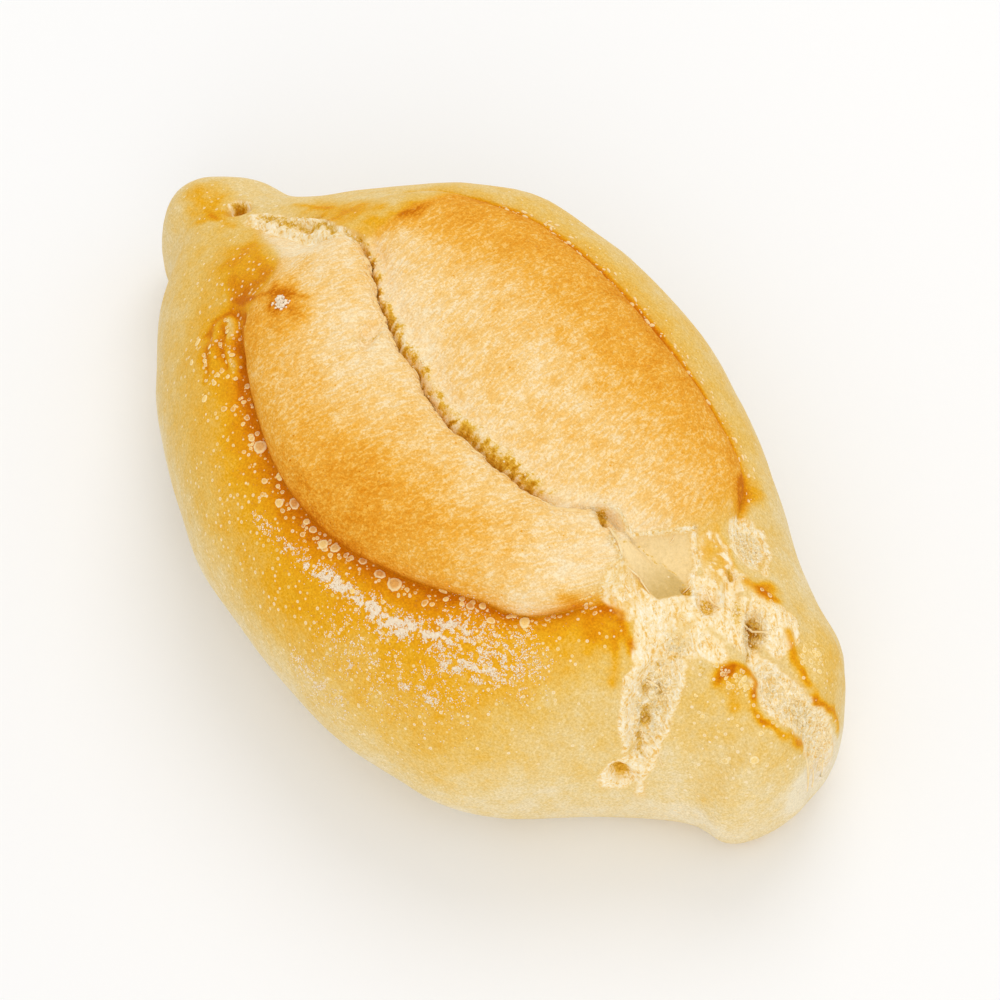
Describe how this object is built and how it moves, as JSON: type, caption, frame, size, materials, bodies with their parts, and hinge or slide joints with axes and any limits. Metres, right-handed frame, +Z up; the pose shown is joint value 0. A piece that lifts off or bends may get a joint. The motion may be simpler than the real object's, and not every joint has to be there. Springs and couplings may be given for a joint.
{
  "type": "crusty bread roll",
  "caption": "Oval crusty bread roll with a pinched nub at one end, a torn knob at the other and a slash opened into lobes along the top.",
  "frame": {"origin": "middle of the roll's length and width, on the flat base it rests on", "axes": "+X along the roll towards its larger torn knob, +Y across it towards the broader lobe of the slash, +Z up"},
  "size_m": [0.14, 0.0838, 0.0479],
  "materials": {
    "crust": "dry matt baked crust, pale cream to golden orange, with open crumb in the tears"
  },
  "bodies": {
    "root": {"bread_roll": "crust"}
  },
  "joints": []
}
